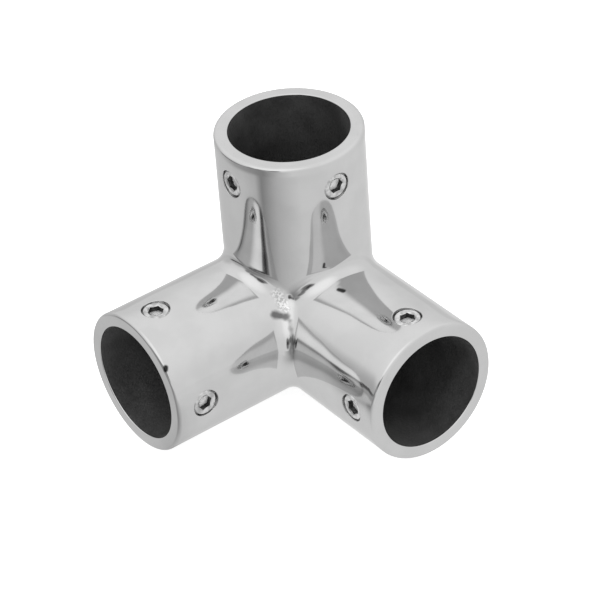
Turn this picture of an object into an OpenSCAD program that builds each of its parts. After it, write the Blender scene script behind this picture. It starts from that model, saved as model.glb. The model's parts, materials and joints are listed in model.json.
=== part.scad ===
// Corner fitting for round rail tube. Three sockets meet at right angles in one polished casting,
// and two hexagon-socket set screws in each socket clamp the tube.

/* [Sockets] */
// Outside diameter of the tube that each socket takes
tube_d = 25; // [18:0.5:32]
// Radial clearance between a tube and its socket
tube_gap = 0.25; // [0.1:0.05:0.5]
// Wall thickness of a socket
wall = 3; // [2.5:0.1:4]
// Distance from the crossing of the three tube axes to a socket's mouth
reach = 44; // [40:1:60]
// Metal left between a socket's floor and the bore that passes beside it
floor_web = 3.25; // [2:0.25:6]
// Radius in the corner between a socket's wall and its floor
floor_round = 1; // [0.2:0.1:2]

/* [Casting] */
// Radius of the concave blend where two sockets run into each other
blend_r = 3; // [2:0.25:6]
// Radius on the outer edge of a mouth
rim_round = 0.8; // [0.4:0.1:2]
// Chamfer on the inner edge of a mouth
mouth_chamfer = 0.3; // [0.1:0.05:0.6]

/* [Set screws] */
// Thread diameter of a set screw
screw_d = 6; // [5:0.5:7]
// Radial clearance of a set screw in its hole
thread_gap = 0.05; // [0.02:0.01:0.1]
// Distance from a mouth to the axes of its set screws
screw_inset = 7; // [5:0.5:9]
// Depth of a screw's outer face below the crown of the socket
screw_sink = 0.4; // [0.2:0.1:0.8]
// Distance from a screw's point to the socket's bore
point_back = 0.1; // [0.05:0.05:0.3]
// Chamfer around a screw's outer face
face_chamfer = 0.4; // [0.2:0.05:0.6]
// Chamfer around a screw's point
point_chamfer = 0.6; // [0.3:0.1:0.8]
// Depth of the cup in a screw's point
cup_depth = 0.3; // [0.1:0.1:0.4]
// Width of the flat ring around the cup
cup_land = 0.5; // [0.2:0.1:1]
// Width of a screw's hexagon socket across its flats
hex_af = 3; // [2:0.5:3.5]
// Depth of a screw's hexagon socket
hex_depth = 1.3; // [0.8:0.1:1.5]
// Depth of the cone around the mouth of a screw's hexagon socket
hex_countersink = 0.2; // [0.05:0.05:0.25]

/* [Hidden] */
bore_r = tube_d / 2 + tube_gap;
outer_r = bore_r + wall;
floor_at = bore_r + floor_web;
socket_depth = reach - floor_at;
hole_r = screw_d / 2 + thread_gap;
screw_at = reach - screw_inset;
screw_len = wall - screw_sink - point_back;
point_r = screw_d / 2 - point_chamfer;
cup_r = point_r - cup_land;
cone_step = hex_countersink * tan(60);

// Turn of each hexagon about its screw's axis, in degrees
turns = [10, 8, 23, 5, 24, 3];

// Fineness of the large rounds, of the screws and of the small edges
socket_fn = 128;
screw_fn = 64;
edge_fn = 32;

// The part stands on its two level sockets, with the origin under the middle of its bounding box
rest_shift = [-(reach - outer_r) / 2, -(reach - outer_r) / 2, outer_r];

// The blend is the surface of a ball of radius blend_r that rolls along a crease. Its centre keeps
// the distance blend_path from both tube axes, on the ellipse that the angle phi runs along: from
// under the crossing, where the two sockets are tangent, up to the ball that touches all three.
// The edges of the blend are tucked a little under the surface, so that it fades out there.
tuck = 0.03;
contact_r = outer_r - tuck;
blend_path = contact_r + blend_r;
phi_low = -83;
phi_high = 45;
// Steps along a crease and across the blend
steps = 24;
strips = 8;
// Depth of the blend's hidden side
root_depth = 3;

steel = [0.78, 0.78, 0.79];
screw_steel = [0.66, 0.66, 0.68];

// Point at share t of the way along the arc of a unit circle from direction a to direction b
function arc_dir(a, b, t) =
    let (angle = acos(max(-1, min(1, a * b))))
    angle < 0.01 ? a : (sin((1 - t) * angle) * a + sin(t * angle) * b) / sin(angle);

function phi(i) = phi_low + (phi_high - phi_low) * i / steps;
function ball_centre(p) = blend_path * [cos(p), cos(p), sin(p)];
// Directions from the ball's centre to its contacts with the first and the second socket
function contact_dir(p) = [[0, -cos(p), -sin(p)], [-cos(p), 0, -sin(p)]];
function unit(v) = v / norm(v);

// Point j across the blend at step i along it; j = strips + 1 is the root inside the metal
function band_point(i, j) =
    let (p = phi(i), d = contact_dir(p))
    j > strips
        ? (outer_r - root_depth) * [cos(p), cos(p), sin(p)]
        : ball_centre(p) + blend_r * arc_dir(d[0], d[1], j / strips);

// The same point for the crease of the second and third sockets, and of the third and first
function turned(q, k) = k == 0 ? q : k == 1 ? [q[2], q[0], q[1]] : [q[1], q[2], q[0]];

// Where the three blends meet, the ball rests on all three sockets. Its patch between them is a
// spherical triangle with a row of points for each u and a point in the row for each v <= u.
corner_ball = ball_centre(phi_high);
corner_dirs = [for (d = [[0, -1, -1], [-1, 0, -1], [-1, -1, 0]]) unit(d)];
function corner_point(u, v) =
    let (a = arc_dir(corner_dirs[0], corner_dirs[1], u / strips),
         b = arc_dir(corner_dirs[0], corner_dirs[2], u / strips))
    corner_ball + blend_r * (u == 0 ? a : arc_dir(a, b, v / u));

ring = strips + 2;
band_size = steps * ring;
corner_start = 3 * band_size;
corner_size = (strips + 1) * (strips + 2) / 2;
root_index = corner_start + corner_size;
function corner_index(u, v) = corner_start + u * (u + 1) / 2 + v;
// Index of point j at step i of band k; the last step is an edge of the corner's triangle
function band_index(k, i, j) =
    i < steps ? k * band_size + i * ring + j
    : j > strips ? root_index
    : k == 0 ? corner_index(j, 0)
    : k == 1 ? corner_index(strips, j)
    : corner_index(strips - j, strips - j);

blend_points = [
    for (k = [0 : 2], i = [0 : steps - 1], j = [0 : ring - 1]) turned(band_point(i, j), k),
    for (u = [0 : strips], v = [0 : u]) corner_point(u, v),
    (outer_r - root_depth) * [cos(phi_high), cos(phi_high), sin(phi_high)]
];
blend_faces = [
    for (k = [0 : 2], i = [0 : steps - 1], j = [0 : ring - 1])
        let (n = (j + 1) % ring, a = band_index(k, i, j), b = band_index(k, i, n),
             c = band_index(k, i + 1, n), d = band_index(k, i + 1, j))
        each [[a, c, b], [a, d, c]],
    for (k = [0 : 2], j = [1 : ring - 2])
        [band_index(k, 0, 0), band_index(k, 0, j), band_index(k, 0, j + 1)],
    for (u = [0 : strips - 1], v = [0 : u])
        [corner_index(u, v), corner_index(u + 1, v + 1), corner_index(u + 1, v)],
    for (u = [1 : strips - 1], v = [0 : u - 1])
        [corner_index(u, v), corner_index(u, v + 1), corner_index(u + 1, v + 1)]
];

// Stands a shape made along Z on the socket with this number: 0 along X, 1 along Y, 2 upright.
// Seen along its own axis, each socket then has the next two sockets on its two sides.
module on_socket(n) {
    if (n == 0) rotate([90, 0, 90]) children();
    if (n == 1) rotate([-90, -90, 0]) children();
    if (n == 2) children();
}

// Stands a shape made along Z on the axis of a screw in socket n, with Z outward. side 0 faces
// along the next socket's axis, side 1 along the one after it.
module on_screw(n, side) {
    on_socket(n) translate([0, 0, screw_at])
        if (side == 0) rotate([0, 90, 0]) children();
        else rotate([-90, 0, 0]) children();
}

// Outside of one socket, with the rounded edge of its mouth
module socket_outside() {
    rotate_extrude($fn = socket_fn) {
        square([outer_r, reach - rim_round]);
        square([outer_r - rim_round, reach]);
        translate([outer_r - rim_round, reach - rim_round]) circle(r = rim_round, $fn = edge_fn);
    }
}

// Bore of one socket, with a chamfered mouth and a floor with a rounded corner
module socket_bore() {
    overshoot = 1;
    translate([0, 0, floor_at]) rotate_extrude($fn = socket_fn) {
        translate([0, floor_round]) square([bore_r, socket_depth - floor_round + overshoot]);
        square([bore_r - floor_round, socket_depth]);
        translate([bore_r - floor_round, floor_round]) circle(r = floor_round, $fn = edge_fn);
        translate([0, socket_depth - mouth_chamfer]) polygon([
            [0, 0], [bore_r, 0], [bore_r + mouth_chamfer + overshoot, mouth_chamfer + overshoot],
            [0, mouth_chamfer + overshoot]
        ]);
    }
}

module body() {
    color(steel) translate(rest_shift) difference() {
        union() {
            sphere(r = outer_r, $fn = socket_fn);
            for (n = [0 : 2]) on_socket(n) socket_outside();
            polyhedron(points = blend_points, faces = blend_faces);
        }
        for (n = [0 : 2]) on_socket(n) socket_bore();
        for (n = [0 : 2], side = [0 : 1]) on_screw(n, side)
            translate([0, 0, bore_r / 2]) cylinder(r = hole_r, h = outer_r, $fn = screw_fn);
    }
}

// One set screw along Z, with its point down at the origin
module set_screw(turn) {
    difference() {
        rotate_extrude($fn = screw_fn) polygon([
            [0, cup_depth], [cup_r, 0], [point_r, 0], [screw_d / 2, point_chamfer],
            [screw_d / 2, screw_len - face_chamfer], [screw_d / 2 - face_chamfer, screw_len],
            [0, screw_len]
        ]);
        translate([0, 0, screw_len - hex_depth]) rotate([0, 0, turn])
            cylinder(d = hex_af / cos(30), h = 2 * hex_depth, $fn = 6);
        translate([0, 0, screw_len - 2 * hex_countersink]) cylinder(
            r1 = hex_af / 2 - cone_step, r2 = hex_af / 2 + 2 * cone_step, h = 3 * hex_countersink,
            $fn = screw_fn
        );
    }
}

module placed_screw(n, side) {
    color(screw_steel) translate(rest_shift) on_screw(n, side)
        translate([0, 0, bore_r + point_back]) set_screw(turns[2 * n + side]);
}

module upright_screw_left() placed_screw(2, 0);
module upright_screw_right() placed_screw(2, 1);
module left_screw_side() placed_screw(0, 0);
module left_screw_top() placed_screw(0, 1);
module right_screw_top() placed_screw(1, 0);
module right_screw_side() placed_screw(1, 1);

body();
upright_screw_left();
upright_screw_right();
left_screw_top();
left_screw_side();
right_screw_top();
right_screw_side();
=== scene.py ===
"""Looks of a polished three-way tube connector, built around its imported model."""
import json
import math

import bpy
import numpy as np
from mathutils import Matrix, Vector


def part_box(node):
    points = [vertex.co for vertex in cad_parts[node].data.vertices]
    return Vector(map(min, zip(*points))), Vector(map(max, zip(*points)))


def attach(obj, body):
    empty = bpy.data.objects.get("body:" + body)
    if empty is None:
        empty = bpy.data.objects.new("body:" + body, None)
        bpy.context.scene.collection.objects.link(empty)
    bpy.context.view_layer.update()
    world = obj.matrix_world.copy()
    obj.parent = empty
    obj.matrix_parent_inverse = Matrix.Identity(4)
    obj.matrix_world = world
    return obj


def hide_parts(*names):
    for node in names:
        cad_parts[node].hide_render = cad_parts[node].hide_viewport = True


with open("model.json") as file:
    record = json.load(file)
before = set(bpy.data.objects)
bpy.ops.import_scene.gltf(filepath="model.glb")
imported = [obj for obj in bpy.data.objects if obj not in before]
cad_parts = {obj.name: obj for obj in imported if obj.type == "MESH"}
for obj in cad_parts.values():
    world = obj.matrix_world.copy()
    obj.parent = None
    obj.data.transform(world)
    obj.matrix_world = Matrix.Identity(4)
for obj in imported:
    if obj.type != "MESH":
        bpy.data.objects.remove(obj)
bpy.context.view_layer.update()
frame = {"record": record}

MM = 0.001
DEG = math.pi / 180

# Sizes of the casting, from the frame
mounts = {m["name"]: m for m in frame["record"]["mounts"]}
body_low, body_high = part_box("body")
CROSSING = Vector((
    mounts["upright_socket"]["pos_m"][0],
    mounts["upright_socket"]["pos_m"][1],
    mounts["left_socket"]["pos_m"][2],
))
BORE_R = mounts["upright_socket"]["dims"]["r_mm"] * MM
OUTER_R = CROSSING.z - body_low.z
REACH = body_high.z - CROSSING.z
screw_low, screw_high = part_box("upright_screw_left")
SCREW_AT = (screw_low.z + screw_high.z) / 2 - CROSSING.z
SCREW_R = (screw_high.z - screw_low.z) / 2
SCREW_FOOT = screw_low.x - CROSSING.x
SCREW_LEN = screw_high.x - screw_low.x

# Sizes of the casting that the frame doesn't give, as in the solids
BLEND_R = 3.0 * MM
RIM_ROUND = 0.8 * MM
MOUTH_ROUND = 0.3 * MM
FLOOR_AT = BORE_R + 3.25 * MM
FLOOR_ROUND = 1.0 * MM
THREAD_GAP = 0.05 * MM
HOLE_R = SCREW_R + THREAD_GAP

# What grinding and polishing add to them: size of the blend at the corner of all three sockets,
# lean of the outside at a mouth, and round on a screw hole's edges
CORNER_R = 4.6 * MM
MOUTH_LEAN = 7 * DEG
HOLE_EDGE = 0.14 * MM

# Sizes of a set screw, as in the solids
HEX_FLATS = 3.0 * MM
HEX_DEPTH = 1.3 * MM
HEX_CONE = 0.2 * MM
FACE_CHAMFER = 0.4 * MM
POINT_CHAMFER = 0.6 * MM
CUP_R = 1.9 * MM
CUP_DEPTH = 0.3 * MM
CONE_SLOPE = math.tan(60 * DEG)
CONE_R = HEX_FLATS / 2 + HEX_CONE * CONE_SLOPE
HEX_FLOOR = SCREW_LEN - HEX_DEPTH

# Its small shapes: a thread with flat crests and roots, which runs out near both ends, the round
# on its edges, the first step into the cone, and the dimple that the drill leaves. Faces end just
# short of the axis, at MIDDLE_R.
THREAD_PITCH = 1.0 * MM
THREAD_DEPTH = 0.5 * MM
THREAD_RUNOUT = 0.15 * MM
THREAD_STEEPNESS = 1.3
THREAD_FLAT = 0.15
SCREW_EDGE = 0.05 * MM
CONE_LIP = 0.09 * MM
CONE_LIP_DROP = 0.052 * MM
MIDDLE_R = 0.02 * MM
DIMPLE_R = 1.0 * MM
DIMPLE_DEPTH = 0.1 * MM
DIMPLE_LEAN = 0.1

# Set screws: socket (0 upright, 1 along X, 2 along Y), side of it, and turn of the hexagon
# in degrees
SCREWS = {
    "upright_screw_left": (0, 0, 24),
    "upright_screw_right": (0, 1, 3),
    "left_screw_side": (1, 0, 10),
    "left_screw_top": (1, 1, 8),
    "right_screw_top": (2, 0, 23),
    "right_screw_side": (2, 1, 5),
}

# Fineness of the casting: steps around a socket, then the window around each screw hole, which
# has faces of its own (half its steps around the socket, rows along it, half its length, and rings
# inside it), then rows and steps along the walls, rounds, blends and floors
AROUND = 256
QUARTER = AROUND // 4
WINDOW_STEPS = 14
WINDOW_ROWS = 16
WINDOW_HALF = 4.4 * MM
WINDOW_LOW = SCREW_AT - WINDOW_HALF
WINDOW_HIGH = SCREW_AT + WINDOW_HALF
WINDOW_RINGS = 7
WALL_ROWS = 6
EDGE_STEPS = 4
RIM_STEPS = 12
BLEND_STEPS = 14
FLOOR_RINGS = 6

# Steps around a screw, in whole flats of its hexagon, and along its thread
FLAT_STEPS = 16
SCREW_AROUND = 6 * FLAT_STEPS
THREAD_ROWS = 40

# Finishes, as places in the lists of materials of the casting and of a screw
# The as-cast finish of the bores carries painted shade
POLISHED, AS_CAST_WITH_PAINTED_SHADE, DRILLED = 0, 1, 2
# A screw's hexagon socket: painted shade on its walls and painted light on its floor
TURNED, SOCKET_WALL_PAINTED_SHADE, SOCKET_FLOOR_PAINTED_LIGHT = 0, 1, 2

# Corners closer than a ten-thousandth of a millimetre are one corner
WELD = 1e-4 * MM


class Skin:
    """Faces with a normal at each corner, joined where their corners meet. They are made on the
    upright socket, and turn names the socket that they are for."""

    def __init__(self, turn=0):
        self.points, self.index = [], {}
        self.faces, self.normals, self.finishes = [], [], []
        self.turn = turn

    def turned(self, v):
        """v as it is on the socket that turn names: 0 upright, 1 along X, 2 along Y."""
        x, y, z = v
        return ((x, y, z), (z, x, y), (y, z, x))[self.turn]

    def corner(self, point):
        key = tuple(round(c / WELD) for c in point)
        if key not in self.index:
            self.index[key] = len(self.points)
            self.points.append(point)
        return self.index[key]

    def face(self, corners, finish):
        """One face from (point, normal) pairs, wound so that it faces along its normals."""
        corners = [(self.turned(p), self.turned(n)) for p, n in corners]
        ring, kept = [], []
        for p, n in corners:
            i = self.corner(p)
            if i not in ring:
                ring.append(i)
                kept.append((p, n))
        if len(ring) < 3:
            return
        points = [np.array(self.points[i]) for i in ring]
        sides = [point - points[0] for point in points[1:]]
        area = sum(np.cross(a, b) for a, b in zip(sides, sides[1:]))
        mean = sum(np.array(n) for p, n in kept)
        if area @ mean < 0:
            ring.reverse()
            kept.reverse()
        self.faces.append(ring)
        self.normals.extend(n for p, n in kept)
        self.finishes.append(finish)

    def grid(self, rows, finish, closed=False):
        """Faces between neighbouring rows of (point, normal) pairs."""
        for a, b in zip(rows, rows[1:]):
            count = len(a)
            for i in range(count if closed else count - 1):
                j = (i + 1) % count
                self.face([a[i], a[j], b[j], b[i]], finish)

    def triangle(self, rows, finish):
        """Faces of a triangle whose row number u has u + 1 (point, normal) pairs."""
        for u in range(len(rows) - 1):
            for v in range(u + 1):
                self.face([rows[u][v], rows[u + 1][v], rows[u + 1][v + 1]], finish)
                if v < u:
                    self.face([rows[u][v], rows[u + 1][v + 1], rows[u][v + 1]], finish)

    def build(self, name, materials):
        mesh = bpy.data.meshes.new(name)
        shift = np.array(CROSSING)
        mesh.from_pydata([tuple(np.array(p) + shift) for p in self.points], [], self.faces)
        for material in materials:
            mesh.materials.append(material)
        mesh.polygons.foreach_set("material_index", self.finishes)
        mesh.polygons.foreach_set("use_smooth", [True] * len(self.faces))
        mesh.update()
        mesh.normals_split_custom_set([tuple(n) for n in self.normals])
        piece = bpy.data.objects.new(name, mesh)
        bpy.context.scene.collection.objects.link(piece)
        return piece


def mixed(a, b, t):
    return a + (b - a) * t


def angle_of(i):
    return 2 * math.pi * i / AROUND


def around_axis(radius, angle, z, facing=1):
    """Point of a cylinder about the socket's axis, with its normal outward (1) or inward (-1)."""
    c, s = math.cos(angle), math.sin(angle)
    return (radius * c, radius * s, z), (facing * c, facing * s, 0.0)


def ball_size(angle):
    """Radius of the ball that rolls along a crease: it grows a little towards the corner."""
    t = max(0.0, min(1.0, angle / (45 * DEG)))
    return mixed(BLEND_R, CORNER_R, t * t * (3 - 2 * t))


def blend_edge(i):
    """Height at which the blends with the neighbours start, at step i around the socket."""
    c, s = math.cos(angle_of(i)), math.sin(angle_of(i))
    highest = max(c, s)
    if highest <= 0:
        return 0.0
    return (OUTER_R + ball_size(math.atan2(min(c, s), highest))) * highest


def socket_wall(skin, radius, facing, low_of, high, finish):
    """Inner or outer wall of a socket, with a window left open around each screw hole."""
    skin.grid([
        [around_axis(radius, angle_of(i), mixed(low_of(i), WINDOW_LOW, j / WALL_ROWS), facing)
         for i in range(AROUND)]
        for j in range(WALL_ROWS + 1)
    ], finish, closed=True)
    skin.grid([
        mouth_row(radius, facing, mixed(WINDOW_HIGH, high, k / RIM_STEPS), k / RIM_STEPS)
        for k in range(RIM_STEPS + 1)
    ], finish, closed=True)
    between_windows = (
        (WINDOW_STEPS, QUARTER - WINDOW_STEPS),
        (QUARTER + WINDOW_STEPS, AROUND - WINDOW_STEPS),
    )
    for first, last in between_windows:
        skin.grid([
            [around_axis(radius, angle_of(i), window_height(j), facing)
             for i in range(first, last + 1)]
            for j in range(WINDOW_ROWS + 1)
        ], finish)


def mouth_row(radius, facing, height, share):
    """Ring of a wall near a mouth, where polishing has made the outside lean a little outward."""
    lean = MOUTH_LEAN * share ** 2 * (3 - 2 * share) if facing > 0 else 0.0
    row = []
    for i in range(AROUND):
        point, (nx, ny, _) = around_axis(radius, angle_of(i), height, facing)
        row.append((point, (nx * math.cos(lean), ny * math.cos(lean), math.sin(lean))))
    return row


def window_height(j):
    return mixed(WINDOW_LOW, WINDOW_HIGH, j / WINDOW_ROWS)


def window_frame():
    """Steps around the socket and up it, once round the edge of a screw's window."""
    side, rows = WINDOW_STEPS, WINDOW_ROWS
    bottom = [(i, 0) for i in range(-side, side)]
    right = [(side, j) for j in range(rows)]
    top = [(i, rows) for i in range(side, -side, -1)]
    left = [(-side, j) for j in range(rows, 0, -1)]
    return bottom + right + top + left


def on_side(side, point, normal):
    """Turns a point and normal made on the +X side of a socket to the side of this screw."""
    if side == 0:
        return point, normal
    return (-point[1], point[0], point[2]), (-normal[1], normal[0], normal[2])


def hole_angles():
    """Angle around the hole for each step round the window's edge."""
    return [
        math.atan2(window_height(j) - SCREW_AT, OUTER_R * math.sin(angle_of(i)))
        for i, j in window_frame()
    ]


def window_patch(skin, side, radius, facing, finish):
    """Wall around a screw hole: rings from the window's frame to the hole's rounded edge."""
    edge_r = HOLE_R + HOLE_EDGE
    frame_points = [(radius * math.sin(angle_of(i)), window_height(j)) for i, j in window_frame()]
    rows = []
    for ring in range(WINDOW_RINGS + 1):
        t = 1 - (1 - ring / WINDOW_RINGS) ** 1.5
        row = []
        for (y0, z0), a in zip(frame_points, hole_angles()):
            y = mixed(y0, edge_r * math.cos(a), t)
            z = mixed(z0, SCREW_AT + edge_r * math.sin(a), t)
            x = math.sqrt(radius ** 2 - y ** 2)
            row.append(on_side(side, (x, y, z), (facing * x / radius, facing * y / radius, 0.0)))
        rows.append(row)
    skin.grid(rows, finish, closed=True)


def edge_row(side, radius, facing, turn):
    """Ring of a hole's rounded edge: at turn 0 it lies on the wall, at 90 degrees on the hole."""
    row = []
    for a in hole_angles():
        r = HOLE_R + HOLE_EDGE * (1 - math.sin(turn))
        y = r * math.cos(a)
        x = math.sqrt(radius ** 2 - y ** 2)
        wall = np.array((facing * x / radius, facing * y / radius, 0.0))
        hole = np.array((0.0, -math.cos(a), -math.sin(a)))
        normal = math.cos(turn) * wall + math.sin(turn) * hole
        sunk = x - facing * HOLE_EDGE * (1 - math.cos(turn))
        point = (sunk, y, SCREW_AT + r * math.sin(a))
        row.append(on_side(side, point, tuple(normal / np.linalg.norm(normal))))
    return row


def screw_hole(skin, side):
    """Hole of one screw with its two rounded edges."""
    turns = [90 * DEG * k / EDGE_STEPS for k in range(EDGE_STEPS + 1)]
    outer = [edge_row(side, OUTER_R, 1, t) for t in turns]
    inner = [edge_row(side, BORE_R, -1, t) for t in reversed(turns)]
    skin.grid(outer, POLISHED, closed=True)
    skin.grid([outer[-1], inner[0]], DRILLED, closed=True)
    skin.grid(inner, AS_CAST_WITH_PAINTED_SHADE, closed=True)
    window_patch(skin, side, OUTER_R, 1, POLISHED)
    window_patch(skin, side, BORE_R, -1, AS_CAST_WITH_PAINTED_SHADE)


def revolved(skin, profile, finish):
    """Faces of a profile of (radius, height, radial normal, axial normal) turned about the axis."""
    rows = []
    for r, z, nr, nz in profile:
        row = []
        for i in range(AROUND):
            c, s = math.cos(angle_of(i)), math.sin(angle_of(i))
            row.append(((r * c, r * s, z), (nr * c, nr * s, nz)))
        rows.append(row)
    skin.grid(rows, finish, closed=True)


def arc_profile(radius, height, size, start, end, facing, steps=RIM_STEPS):
    """Arc of this size around a centre, from start to end in degrees from the radial direction."""
    profile = []
    for k in range(steps + 1):
        a = mixed(start, end, k / steps) * DEG
        c, s = math.cos(a), math.sin(a)
        profile.append((radius + size * c, height + size * s, facing * c, facing * s))
    return profile


def socket_mouth(skin):
    """Rounded rim, flat face and rounded inner edge of a mouth."""
    rim = []
    arc = arc_profile(OUTER_R - RIM_ROUND, REACH - RIM_ROUND, RIM_ROUND, 0, 90, 1)
    for k, (r, z, _, _) in enumerate(arc):
        lean = mixed(MOUTH_LEAN, 90 * DEG, k / RIM_STEPS)
        rim.append((r, z, math.cos(lean), math.sin(lean)))
    revolved(skin, rim, POLISHED)
    face_in = BORE_R + MOUTH_ROUND
    revolved(skin, [(OUTER_R - RIM_ROUND, REACH, 0, 1), (face_in, REACH, 0, 1)], POLISHED)
    inner = arc_profile(face_in, REACH - MOUTH_ROUND, MOUTH_ROUND, 90, 180, 1, EDGE_STEPS)
    revolved(skin, inner, POLISHED)


def socket_floor(skin):
    """Rounded corner and flat floor of a blind bore."""
    flat_r = BORE_R - FLOOR_ROUND
    corner = arc_profile(flat_r, FLOOR_AT + FLOOR_ROUND, FLOOR_ROUND, 0, -90, -1, EDGE_STEPS)
    revolved(skin, corner, AS_CAST_WITH_PAINTED_SHADE)
    flat = [(flat_r * (1 - k / FLOOR_RINGS), FLOOR_AT, 0, 1) for k in range(FLOOR_RINGS + 1)]
    revolved(skin, flat, AS_CAST_WITH_PAINTED_SHADE)


def slerp(a, b, t):
    """Direction at share t of the way from unit direction a to unit direction b."""
    angle = math.acos(max(-1.0, min(1.0, float(np.dot(a, b)))))
    if angle < 1e-6:
        return np.array(a)
    near, far = math.sin((1 - t) * angle), math.sin(t * angle)
    return (near * np.array(a) + far * np.array(b)) / math.sin(angle)


def triangle_rows(corners, steps, to_pair):
    """Rows of a spherical triangle between three unit directions."""
    rows = []
    for u in range(steps + 1):
        a = slerp(corners[0], corners[1], u / steps)
        b = slerp(corners[0], corners[2], u / steps)
        rows.append([to_pair(slerp(a, b, v / u) if u else a) for v in range(u + 1)])
    return rows


def crease_blend(skin):
    """Surface of a ball that rolls along the crease of two sockets, up to the corner."""
    rows = []
    for i in range(-QUARTER, QUARTER // 2 + 1):
        c, s = math.cos(angle_of(i)), math.sin(angle_of(i))
        size = ball_size(angle_of(i))
        ball = (OUTER_R + size) * np.array((c, c, s))
        row = []
        for j in range(BLEND_STEPS + 1):
            d = slerp((0, -c, -s), (-c, 0, -s), j / BLEND_STEPS)
            row.append((tuple(ball + size * d), tuple(-d)))
        rows.append(row)
    skin.grid(rows, POLISHED)


def corner_blend(skin):
    """Patch of the ball that rests on all three sockets."""
    ball = (OUTER_R + CORNER_R) * math.sqrt(0.5) * np.ones(3)
    root = math.sqrt(0.5)
    corners = [(0, -root, -root), (-root, 0, -root), (-root, -root, 0)]
    rows = triangle_rows(corners, BLEND_STEPS, lambda d: (tuple(ball + CORNER_R * d), tuple(-d)))
    skin.triangle(rows, POLISHED)


def back_corner(skin):
    """Rounded corner behind the crossing, where the three sockets run out into a sphere."""
    corners = [(-1, 0, 0), (0, -1, 0), (0, 0, -1)]
    rows = triangle_rows(corners, QUARTER, lambda d: (tuple(OUTER_R * d), tuple(d)))
    skin.triangle(rows, POLISHED)


def casting(materials):
    """The whole body in one mesh."""
    skin = Skin()
    bore_foot = FLOOR_AT + FLOOR_ROUND
    for turn in range(3):
        skin.turn = turn
        socket_wall(skin, OUTER_R, 1, blend_edge, REACH - RIM_ROUND, POLISHED)
        socket_wall(skin, BORE_R, -1, lambda i: bore_foot, REACH - MOUTH_ROUND, AS_CAST_WITH_PAINTED_SHADE)
        for side in (0, 1):
            screw_hole(skin, side)
        socket_mouth(skin)
        socket_floor(skin)
        crease_blend(skin)
    skin.turn = 0
    corner_blend(skin)
    back_corner(skin)
    return skin.build("casting_skin", materials)


def edged(points, cut, steps=3):
    """Profile through these (radius, height) points with its corners cut round."""
    points = [np.array(p) for p in points]
    along = [(b - a) / np.linalg.norm(b - a) for a, b in zip(points, points[1:])]
    rows = [(points[0], along[0])]
    for p, before, after in zip(points[1:-1], along, along[1:]):
        for k in range(steps + 1):
            t = k / steps
            corner = p - (1 - t) ** 2 * cut * before + t ** 2 * cut * after
            rows.append((corner, mixed(before, after, t)))
    rows.append((points[-1], along[-1]))
    return [(p[0], p[1], d[1] / np.linalg.norm(d), -d[0] / np.linalg.norm(d)) for p, d in rows]


def thread_depth(height, angle):
    """Depth of the thread below the screw's outside, and its slope along the screw."""
    phase = (height / THREAD_PITCH - angle / (2 * math.pi)) % 1
    flank = 1 - abs(2 * phase - 1)
    share = max(0.0, min(1.0, THREAD_STEEPNESS * flank - THREAD_FLAT))
    slope = 0.0
    if share not in (0.0, 1.0):
        slope = math.copysign(2 * THREAD_STEEPNESS, 0.5 - phase)
    from_ends = min(SCREW_LEN - FACE_CHAMFER - height, height - POINT_CHAMFER)
    ends = min(1.0, from_ends / THREAD_RUNOUT)
    return THREAD_DEPTH * share * ends, THREAD_DEPTH * slope * ends / THREAD_PITCH


def hexagon_r(i):
    """Distance from the screw's axis to its hexagon at step i around it."""
    return HEX_FLATS / 2 / math.cos((i % FLAT_STEPS / FLAT_STEPS * 60 - 30) * DEG)


def cone_height(r):
    """Height of the cone around the hexagon's mouth at this distance from the axis."""
    return SCREW_LEN - (CONE_R - r) / CONE_SLOPE


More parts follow.
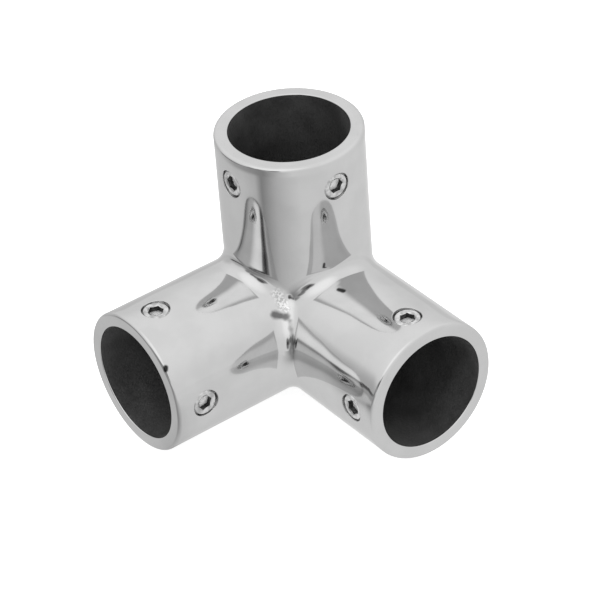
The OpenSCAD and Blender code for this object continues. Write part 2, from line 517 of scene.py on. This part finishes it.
def set_screw(name, socket, side, turn, materials):
    """One set screw with its thread, cup point and hexagon socket, in the place of its solid."""
    skin = Skin(socket)
    start = (turn - 90 * side) * DEG
    angles = [start + 2 * math.pi * i / SCREW_AROUND for i in range(SCREW_AROUND + 1)]
    around = angles[:-1]

    def pair(r, a, h, nr, nh):
        """Point and normal at distance r, angle a and height h on the screw."""
        point = (SCREW_FOOT + h, r * math.sin(a), SCREW_AT - r * math.cos(a))
        return on_side(side, point, (nh, nr * math.sin(a), -nr * math.cos(a)))

    def rows_of(profile):
        return [[pair(r, a, h, nr, nh) for a in around] for r, h, nr, nh in profile]

    point_r = SCREW_R - POINT_CHAMFER
    cup = edged([(MIDDLE_R, CUP_DEPTH), (CUP_R, 0), (point_r, 0), (SCREW_R, POINT_CHAMFER)],
                SCREW_EDGE)
    skin.grid(rows_of(cup), TURNED, closed=True)

    thread = []
    for k in range(THREAD_ROWS + 1):
        h = mixed(POINT_CHAMFER, SCREW_LEN - FACE_CHAMFER, k / THREAD_ROWS)
        row = []
        for a in around:
            depth, slope = thread_depth(h, a)
            steep = math.hypot(1, slope)
            row.append(pair(SCREW_R - depth, a, h, 1 / steep, slope / steep))
        thread.append(row)
    skin.grid(thread, TURNED, closed=True)

    face = rows_of(edged([
        (SCREW_R, SCREW_LEN - FACE_CHAMFER),
        (SCREW_R - FACE_CHAMFER, SCREW_LEN),
        (CONE_R, SCREW_LEN),
        (CONE_R - CONE_LIP, SCREW_LEN - CONE_LIP_DROP),
    ], SCREW_EDGE))
    skin.grid(face, TURNED, closed=True)
    mouth = []
    for i, a in enumerate(around):
        r = hexagon_r(i)
        mouth.append(pair(r, a, cone_height(r), -math.cos(60 * DEG), math.sin(60 * DEG)))
    skin.grid([face[-1], mouth], TURNED, closed=True)

    # Walls of the hexagon socket, with painted shade
    for flat in range(6):
        middle = start + (60 * flat + 30) * DEG
        top, bottom = [], []
        for i in range(FLAT_STEPS * flat, FLAT_STEPS * (flat + 1) + 1):
            r = hexagon_r(i)
            _, inward = pair(r, middle, HEX_FLOOR, -1, 0)
            for row, h in ((top, cone_height(r)), (bottom, HEX_FLOOR)):
                point, _ = pair(r, angles[i], h, -1, 0)
                row.append((point, inward))
        skin.grid([top, bottom], SOCKET_WALL_PAINTED_SHADE)

    # Floor of the hexagon socket and its dimple, with painted light
    floor_rows = [
        [pair(hexagon_r(i) * share, a, HEX_FLOOR, 0, 1) for i, a in enumerate(around)]
        for share in (1, 0.8)
    ]
    dimple_up = math.sqrt(1 - DIMPLE_LEAN ** 2)
    dimple = rows_of([
        (DIMPLE_R, HEX_FLOOR, -DIMPLE_LEAN, dimple_up),
        (MIDDLE_R, HEX_FLOOR - DIMPLE_DEPTH, -DIMPLE_LEAN, dimple_up),
    ])
    skin.grid(floor_rows + dimple, SOCKET_FLOOR_PAINTED_LIGHT, closed=True)
    return skin.build(name + "_skin", materials)


def new_material(name):
    material = bpy.data.materials.new(name)
    material.use_nodes = True
    return material, material.node_tree, material.node_tree.nodes["Principled BSDF"]


def grey(tone):
    return (tone, tone, tone, 1)


def feed(tree, socket, value):
    """Links a node's input to another node's output, or sets it to a value."""
    if isinstance(value, bpy.types.NodeSocket):
        tree.links.new(value, socket)
    else:
        socket.default_value = value


def maths(tree, operation, *values):
    """Maths node on numbers or sockets; gives its result's socket."""
    node = tree.nodes.new("ShaderNodeMath")
    node.operation = operation
    for socket, value in zip(node.inputs, values):
        feed(tree, socket, value)
    return node.outputs["Value"]


def vector_maths(tree, operation, *values):
    """Vector maths node; gives the node."""
    node = tree.nodes.new("ShaderNodeVectorMath")
    node.operation = operation
    for socket, value in zip(node.inputs, values):
        feed(tree, socket, value)
    return node


def ramp_between(tree, value, start, end, low=0.0, high=1.0):
    """Goes smoothly from low to high while value goes from start to end."""
    node = tree.nodes.new("ShaderNodeMapRange")
    node.interpolation_type = "SMOOTHSTEP"
    names = ("Value", "From Min", "From Max", "To Min", "To Max")
    for name, given in zip(names, (value, start, end, low, high)):
        feed(tree, node.inputs[name], given)
    return node.outputs["Result"]


def mixed_colour(tree, factor, a, b, blend="MIX"):
    """Colour a where factor is 0 and b where it is 1; a number stands for a grey."""
    node = tree.nodes.new("ShaderNodeMix")
    node.data_type = "RGBA"
    node.blend_type = blend
    feed(tree, node.inputs["Factor"], factor)
    for name, value in (("A", a), ("B", b)):
        feed(tree, node.inputs[name], grey(value) if isinstance(value, (int, float)) else value)
    return node.outputs["Result"]


def new_group(name, inputs, outputs):
    """Shader node group with these (name, kind) inputs and these number outputs."""
    group = bpy.data.node_groups.new(name, "ShaderNodeTree")
    for title, kind in inputs:
        group.interface.new_socket(title, in_out="INPUT", socket_type="NodeSocket" + kind)
    for title in outputs:
        group.interface.new_socket(title, in_out="OUTPUT", socket_type="NodeSocketFloat")
    given = group.nodes.new("NodeGroupInput").outputs
    result = group.nodes.new("NodeGroupOutput").inputs
    place = group.nodes.new("ShaderNodeTexCoord").outputs["Object"]
    return group, given, result, place


def unevenness_group():
    """Group for worked metal: slow waves, fine grain and cloudy patches, sized in millimetres."""
    layers = (("Wave Size", "Waves", 0), ("Grain Size", "Grain", 2), ("Patch Size", "Patches", 3))
    sizes = [(size, "Float") for size, _, _ in layers]
    group, given, result, place = new_group("unevenness", sizes, [name for _, name, _ in layers])
    for size, name, detail in layers:
        noise = group.nodes.new("ShaderNodeTexNoise")
        noise.inputs["Detail"].default_value = detail
        group.links.new(place, noise.inputs["Vector"])
        group.links.new(maths(group, "DIVIDE", 1 / MM, given[size]), noise.inputs["Scale"])
        group.links.new(noise.outputs["Fac"], result[name])
    return group


def unevenness(tree, wave, grain, patch):
    """The group in this material, with its own sizes in millimetres."""
    node = tree.nodes.new("ShaderNodeGroup")
    node.node_tree = UNEVENNESS
    node.inputs["Wave Size"].default_value = wave
    node.inputs["Grain Size"].default_value = grain
    node.inputs["Patch Size"].default_value = patch
    return node.outputs


# Edge of a mark: how many times it wanders in a metre, and, as shares of the mark's half width,
# how far it wanders and where it fades
MARK_WAVES = 700
MARK_WANDER = 0.9
MARK_FADE = (1.3, 0.3)


def streak_group():
    """Group for a small mark on the surface: 1 along a line of this start, run and half width."""
    inputs = (("Start", "Vector"), ("Run", "Vector"), ("Half Width", "Float"))
    group, given, result, place = new_group("streak", inputs, ["Mask"])
    wobble = group.nodes.new("ShaderNodeTexNoise")
    wobble.inputs["Scale"].default_value = MARK_WAVES
    wobble.inputs["Detail"].default_value = 1
    group.links.new(place, wobble.inputs["Vector"])
    run = given["Run"]
    from_start = vector_maths(group, "SUBTRACT", place, given["Start"]).outputs["Vector"]
    along = vector_maths(group, "DOT_PRODUCT", from_start, run).outputs["Value"]
    length = vector_maths(group, "DOT_PRODUCT", run, run).outputs["Value"]
    share = maths(group, "DIVIDE", along, length)
    share = maths(group, "MINIMUM", maths(group, "MAXIMUM", share, 0.0), 1.0)
    reached = vector_maths(group, "SCALE", run)
    group.links.new(share, reached.inputs["Scale"])
    aside = vector_maths(group, "SUBTRACT", from_start, reached.outputs["Vector"])
    distance = vector_maths(group, "LENGTH", aside.outputs["Vector"]).outputs["Value"]
    ratio = maths(group, "DIVIDE", distance, given["Half Width"])
    wander = maths(group, "MULTIPLY_ADD", wobble.outputs["Fac"], MARK_WANDER, -MARK_WANDER / 2)
    mask = ramp_between(group, maths(group, "ADD", ratio, wander), *MARK_FADE)
    group.links.new(mask, result["Mask"])
    return group


def streak(tree, start, end, half_width):
    """Mask of a mark between two places in millimetres from the crossing of the sockets."""
    node = tree.nodes.new("ShaderNodeGroup")
    node.node_tree = STREAK
    node.inputs["Start"].default_value = CROSSING + Vector(start) * MM
    node.inputs["Run"].default_value = (Vector(end) - Vector(start)) * MM
    node.inputs["Half Width"].default_value = half_width * MM
    return node.outputs["Mask"]


def bump(tree, shader, layers):
    """Raises the surface by these (height socket, height in millimetres) layers."""
    normal = None
    for height, size in layers:
        node = tree.nodes.new("ShaderNodeBump")
        node.inputs["Distance"].default_value = size * MM
        tree.links.new(height, node.inputs["Height"])
        if normal is not None:
            tree.links.new(normal, node.inputs["Normal"])
        normal = node.outputs["Normal"]
    tree.links.new(normal, shader.inputs["Normal"])


# Dark marks painted on the casting: two ends and half width in millimetres, and tone. They are a
# dark patch and a dark band beside the corner, a spot on the right socket and a dark spot in the
# left rim. The dark band is a painted reflection.
MARKS_AND_PAINTED_REFLECTION = (
    ((15.6, 12.1, 10.1), (13.5, 13.3, 9.3), 1.0, 0.15),
    # Painted reflection: the dark band beside the corner
    ((13.4, 14.4, 8.6), (14.9, 17.0, 5.2), 0.7, 0.27),
    ((4.3, 19.6, 15.1), (3.9, 21.0, 15.3), 0.5, 0.04),
    ((43.3, 11.7, 10.5), (43.6, 12.0, 10.0), 0.55, 0.03),
)

# Spot beside the corner that was ground and not polished: two ends and half width in millimetres,
# the tones of its grain, and what the grinding adds to the roughness and the height of the grain
GROUND_SPOT = ((12.9, 9.8, 13.1), (13.0, 11.9, 10.4), 1.3)
GROUND_TONES = (0.46, 0.76)
GROUND_ROUGHNESS = 0.16
GROUND_GRAIN = 60.0


def polished_steel():
    """Polish on the outside of the casting."""
    material, tree, shader = new_material("polished_steel")
    shader.inputs["Metallic"].default_value = 1
    shader.inputs["Specular Tint"].default_value = grey(0.8)
    metal = unevenness(tree, wave=8.0, grain=0.5, patch=7.0)
    tone = mixed_colour(tree, ramp_between(tree, metal["Patches"], 0.35, 0.65), 0.57, 0.6)
    # Darkens the steel's tone along each entry: dark marks, and a painted reflection in the band
    # beside the corner
    for start, end, half_width, darker in MARKS_AND_PAINTED_REFLECTION:
        tone = mixed_colour(tree, streak(tree, start, end, half_width), tone, darker)
    ground = streak(tree, *GROUND_SPOT)
    speckled = mixed_colour(tree, ramp_between(tree, metal["Grain"], 0.4, 0.6), *GROUND_TONES)
    tree.links.new(mixed_colour(tree, ground, tone, speckled), shader.inputs["Base Color"])
    roughness = ramp_between(tree, metal["Patches"], 0.3, 0.7, 0.05, 0.09)
    roughness = maths(tree, "MULTIPLY_ADD", ground, GROUND_ROUGHNESS, roughness)
    tree.links.new(roughness, shader.inputs["Roughness"])
    coarser = maths(tree, "MULTIPLY_ADD", ground, GROUND_GRAIN, 1.0)
    grain = maths(tree, "MULTIPLY", metal["Grain"], coarser)
    bump(tree, shader, ((metal["Waves"], 0.13), (grain, 0.0006)))
    return material


def as_cast_steel_with_painted_shade():
    """Rough wall of a bore, as it came from the mould, with painted shade: its tone is kept dark
    for the shade inside the sockets.
    """
    material, tree, shader = new_material("as_cast_steel_with_painted_shade")
    shader.inputs["Metallic"].default_value = 0.6
    metal = unevenness(tree, wave=5.0, grain=0.5, patch=9.0)
    # Painted shade: a dark tone for the shade inside the bore, over the as-cast patches
    tone = mixed_colour(tree, ramp_between(tree, metal["Patches"], 0.3, 0.7), 0.085, 0.15)
    tree.links.new(tone, shader.inputs["Base Color"])
    roughness = ramp_between(tree, metal["Grain"], 0.35, 0.65, 0.42, 0.6)
    tree.links.new(roughness, shader.inputs["Roughness"])
    bump(tree, shader, ((metal["Waves"], 0.25), (metal["Grain"], 0.05)))
    return material


def machined_steel(name, metallic, low, high, roughness):
    """Metal whose tone goes from low to high in small patches."""
    material, tree, shader = new_material(name)
    shader.inputs["Metallic"].default_value = metallic
    metal = unevenness(tree, wave=2.0, grain=0.15, patch=1.2)
    tone = mixed_colour(tree, ramp_between(tree, metal["Patches"], 0.35, 0.65), low, high)
    tree.links.new(tone, shader.inputs["Base Color"])
    spread = 0.06
    rough = ramp_between(tree, metal["Grain"], 0.3, 0.7, roughness - spread, roughness + spread)
    tree.links.new(rough, shader.inputs["Roughness"])
    bump(tree, shader, ((metal["Waves"], 0.06), (metal["Grain"], 0.012)))
    return material


# The camera turns about the crossing of the socket axes, at the photograph's angle. Its aim is a
# little beside the crossing. The lens is given by its length in pixels of the photograph.
CAMERA_AZIMUTH = 145.077 * DEG
CAMERA_ELEVATION = 36.115 * DEG
CAMERA_ROLL = -4.413 * DEG
CAMERA_DISTANCE = 663.0 * MM
CAMERA_ASIDE = -0.400 * MM
CAMERA_ABOVE = -0.290 * MM
LENS_PIXELS = 3080
PICTURE_PIXELS = 600
SENSOR_WIDTH = 36


def camera():
    """The photograph's camera."""
    level = math.cos(CAMERA_ELEVATION)
    right = Vector((math.cos(CAMERA_AZIMUTH), math.sin(CAMERA_AZIMUTH), 0))
    back = Vector((
        math.sin(CAMERA_AZIMUTH) * level,
        -math.cos(CAMERA_AZIMUTH) * level,
        math.sin(CAMERA_ELEVATION),
    ))
    up = back.cross(right)
    rolled_right = math.cos(CAMERA_ROLL) * right + math.sin(CAMERA_ROLL) * up
    rolled_up = -math.sin(CAMERA_ROLL) * right + math.cos(CAMERA_ROLL) * up
    aim = CROSSING + CAMERA_ASIDE * rolled_right + CAMERA_ABOVE * rolled_up
    place = aim + CAMERA_DISTANCE * back
    data = bpy.data.cameras.new("camera")
    data.sensor_width = SENSOR_WIDTH
    data.lens = SENSOR_WIDTH * LENS_PIXELS / PICTURE_PIXELS
    made = bpy.data.objects.new("camera", data)
    made.matrix_world = Matrix((
        (rolled_right.x, rolled_up.x, back.x, place.x),
        (rolled_right.y, rolled_up.y, back.y, place.y),
        (rolled_right.z, rolled_up.z, back.z, place.z),
        (0, 0, 0, 1),
    ))
    bpy.context.scene.collection.objects.link(made)
    bpy.context.scene.camera = made


# Brightness of the whole studio
STUDIO_LIGHT = 1.12

# The floor: half its size in metres, and its tone beside the casting in the steel's reflections
FLOOR_HALF = 4.0
BESIDE_FLOOR = 0.86
# Painted shadow on it there, as its tone by azimuth within a hand's width and farther away
NEAR_FLOOR_PAINTED_SHADOW = (
    (-180, 0.9), (-130, 1.0), (-95, 0.8), (-20, 0.7), (0, 0.6), (10, 0.3), (30, 0.55), (65, 0.8),
    (180, 0.9),
)
FAR_FLOOR_PAINTED_SHADOW = (
    (-180, 0.85), (-95, 0.75), (-60, 0.65), (-30, 0.45), (15, 0.3), (35, 0.6), (55, 0.85),
    (180, 0.85),
)
# Its dark far edge on one side of the studio: azimuth, half its width in degrees, and tone
FLOOR_EDGE = (-40, 25, 0.12)
# Distances from the crossing over which one tone fades into the next
BESIDE_TO_NEAR = (30 * MM, 65 * MM)
NEAR_TO_FAR = (90 * MM, 140 * MM)
FAR_TO_EDGE = (220 * MM, 380 * MM)
# Share by which the floor is brighter where steel mirrors it to steel: beside the casting, farther
# away, and the distances between the two
TWICE_BESIDE = 1.35
TWICE_FARTHER = 1.1
TWICE_FADE = (45 * MM, 60 * MM)


def second_mirroring(tree):
    """1 for light that reaches the camera over two mirroring surfaces or more."""
    light_path = tree.nodes.new("ShaderNodeLightPath")
    return maths(tree, "GREATER_THAN", light_path.outputs["Glossy Depth"], 1.5)


def tone_by_azimuth(tree, azimuth, stops):
    """Grey that follows the azimuth in degrees, from -180 to 180, through these stops."""
    ramp = tree.nodes.new("ShaderNodeValToRGB")
    tree.links.new(maths(tree, "MULTIPLY_ADD", azimuth, 1 / 360, 0.5), ramp.inputs["Fac"])
    elements = ramp.color_ramp.elements
    while len(elements) < len(stops):
        elements.new(0.5)
    for element, (angle, tone) in zip(elements, stops):
        element.position = angle / 360 + 0.5
        element.color = grey(tone)
    return ramp.outputs["Color"]


def floor_tone_with_painted_shadow(tree, azimuth, radius):
    """Tone of the floor in the steel's reflections, with painted shadow by azimuth and distance."""
    near = tone_by_azimuth(tree, azimuth, NEAR_FLOOR_PAINTED_SHADOW)
    far = tone_by_azimuth(tree, azimuth, FAR_FLOOR_PAINTED_SHADOW)
    tone = mixed_colour(tree, ramp_between(tree, radius, *NEAR_TO_FAR), near, far)
    tone = mixed_colour(tree, ramp_between(tree, radius, *BESIDE_TO_NEAR), BESIDE_FLOOR, tone)
    edge_azimuth, edge_width, edge_tone = FLOOR_EDGE
    from_edge = maths(tree, "ABSOLUTE", maths(tree, "SUBTRACT", azimuth, edge_azimuth))
    at_edge = ramp_between(tree, from_edge, edge_width, edge_width / 2)
    edge = maths(tree, "MULTIPLY", at_edge, ramp_between(tree, radius, *FAR_TO_EDGE))
    return mixed_colour(tree, edge, tone, edge_tone)


def floor_light(tree, radius):
    """Strength of the floor in the steel's reflections."""
    twice = ramp_between(tree, radius, *TWICE_FADE, TWICE_BESIDE * STUDIO_LIGHT,
                         TWICE_FARTHER * STUDIO_LIGHT)
    again = second_mirroring(tree)
    once = maths(tree, "MULTIPLY_ADD", again, -STUDIO_LIGHT, STUDIO_LIGHT)
    return maths(tree, "MULTIPLY_ADD", twice, again, once)


def floor_material():
    """Pale floor that lights itself a little. In the polished steel's reflections it shows painted
    shadow, darker on one side of the studio."""
    material, tree, shader = new_material("floor")
    shader.inputs["Base Color"].default_value = grey(0.97)
    shader.inputs["Roughness"].default_value = 0.9
    shader.inputs["Specular IOR Level"].default_value = 0
    shader.inputs["Emission Color"].default_value = grey(1)
    shader.inputs["Emission Strength"].default_value = 0.6
    place = tree.nodes.new("ShaderNodeNewGeometry")
    split = tree.nodes.new("ShaderNodeSeparateXYZ")
    tree.links.new(place.outputs["Position"], split.inputs["Vector"])
    x = maths(tree, "SUBTRACT", split.outputs["X"], CROSSING.x)
    y = maths(tree, "SUBTRACT", split.outputs["Y"], CROSSING.y)
    azimuth = maths(tree, "DEGREES", maths(tree, "ARCTAN2", y, x))
    squares = maths(tree, "MULTIPLY_ADD", x, x, maths(tree, "MULTIPLY", y, y))
    radius = maths(tree, "SQRT", squares)
    mirrored = tree.nodes.new("ShaderNodeEmission")
    tree.links.new(floor_tone_with_painted_shadow(tree, azimuth, radius), mirrored.inputs["Color"])
    tree.links.new(floor_light(tree, radius), mirrored.inputs["Strength"])
    light_path = tree.nodes.new("ShaderNodeLightPath")
    mix = tree.nodes.new("ShaderNodeMixShader")
    tree.links.new(light_path.outputs["Is Glossy Ray"], mix.inputs["Fac"])
    tree.links.new(shader.outputs["BSDF"], mix.inputs[1])
    tree.links.new(mirrored.outputs["Emission"], mix.inputs[2])
    tree.links.new(mix.outputs["Shader"], tree.nodes["Material Output"].inputs["Surface"])
    return material


def floor():
    """The ground that the casting stands on."""
    corners = [(x * FLOOR_HALF, y * FLOOR_HALF, 0) for x, y in ((-1, -1), (1, -1), (1, 1), (-1, 1))]
    mesh = bpy.data.meshes.new("floor")
    mesh.from_pydata(corners, [], [(0, 1, 2, 3)])
    mesh.materials.append(floor_material())
    piece = bpy.data.objects.new("floor", mesh)
    bpy.context.scene.collection.objects.link(piece)


# Surroundings above the floor: tone low and high, and the heights between which it changes, as
# the upward part of the direction
PLAIN_TONES = (0.88, 1.0)
PLAIN_HEIGHTS = (0.2, 0.8)
# Round parts of them: azimuth, elevation, angles inside and outside, and tone. There is a bright
# cap, then the two bright parts that steel mirrors to steel, and the dark flags.
CAP = (22, 58, 8, 40, 1.2)
TWICE_CAPS = ((30, 56, 18, 40, 1.7), (64, 12, 12, 30, 1.2))
FLAGS = (
    (0, -4, 6, 30, 0.30),
    (-35, -6, 6, 28, 0.60),
    (-70, -6, 6, 30, 0.75),
    (29, 12, 4, 11, 0.26),
    (30, 20, 4, 9, 0.26),
    (19, 18, 4, 8, 0.32),
    (8, 19, 3, 8, 0.36),
    (-6, 17, 3, 8, 0.55),
)


def direction(azimuth, elevation):
    """Unit vector at these degrees, counted from +X towards +Y and up from the floor."""
    a, e = azimuth * DEG, elevation * DEG
    return Vector((math.cos(a) * math.cos(e), math.sin(a) * math.cos(e), math.sin(e)))


def with_round_part(tree, view, colour, azimuth, elevation, inner, outer, tone, blend="MIX"):
    """Colour with this tone inside the inner angle from a direction, fading by the outer one."""
    centre = direction(azimuth, elevation)
    nearness = vector_maths(tree, "DOT_PRODUCT", view, centre).outputs["Value"]
    share = ramp_between(tree, nearness, math.cos(outer * DEG), math.cos(inner * DEG))
    return mixed_colour(tree, share, colour, tone, blend)


def studio():
    """Soft light from all around, with a bright cap and dark flags for the steel to mirror."""
    world = bpy.data.worlds.new("studio")
    world.use_nodes = True
    tree = world.node_tree
    background = tree.nodes["Background"]
    view = tree.nodes.new("ShaderNodeTexCoord").outputs["Generated"]
    split = tree.nodes.new("ShaderNodeSeparateXYZ")
    tree.links.new(view, split.inputs["Vector"])
    above = ramp_between(tree, split.outputs["Z"], *PLAIN_HEIGHTS)
    once = with_round_part(tree, view, mixed_colour(tree, above, *PLAIN_TONES), *CAP)
    twice = PLAIN_TONES[0]
    for part in TWICE_CAPS:
        twice = with_round_part(tree, view, twice, *part)
    colour = mixed_colour(tree, second_mirroring(tree), once, twice)
    for part in FLAGS:
        colour = with_round_part(tree, view, colour, *part, blend="MULTIPLY")
    tree.links.new(colour, background.inputs["Color"])
    background.inputs["Strength"].default_value = STUDIO_LIGHT
    bpy.context.scene.world = world
    bpy.context.scene.view_settings.view_transform = "Standard"


camera()
floor()
studio()

UNEVENNESS = unevenness_group()
STREAK = streak_group()

drilled_steel = machined_steel("drilled_steel", metallic=1, low=0.4, high=0.6, roughness=0.3)
skin = casting([polished_steel(), as_cast_steel_with_painted_shade(), drilled_steel])
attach(skin, "casting")
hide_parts("body")

screw_finishes = [
    machined_steel("screw_steel", metallic=1, low=0.42, high=0.68, roughness=0.2),
    # Hexagon socket walls: the screw's steel painted dark for shade
    machined_steel("screw_hex_wall_painted_shade", metallic=0.8, low=0.03, high=0.1, roughness=0.45),
    # Hexagon socket floor: the screw's steel painted light
    machined_steel("screw_hex_floor_painted_light", metallic=0.2, low=0.65, high=0.85, roughness=0.5),
]
for name, (socket, side, turn) in SCREWS.items():
    screw = set_screw(name, socket, side, turn, screw_finishes)
    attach(screw, name)
    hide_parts(name)
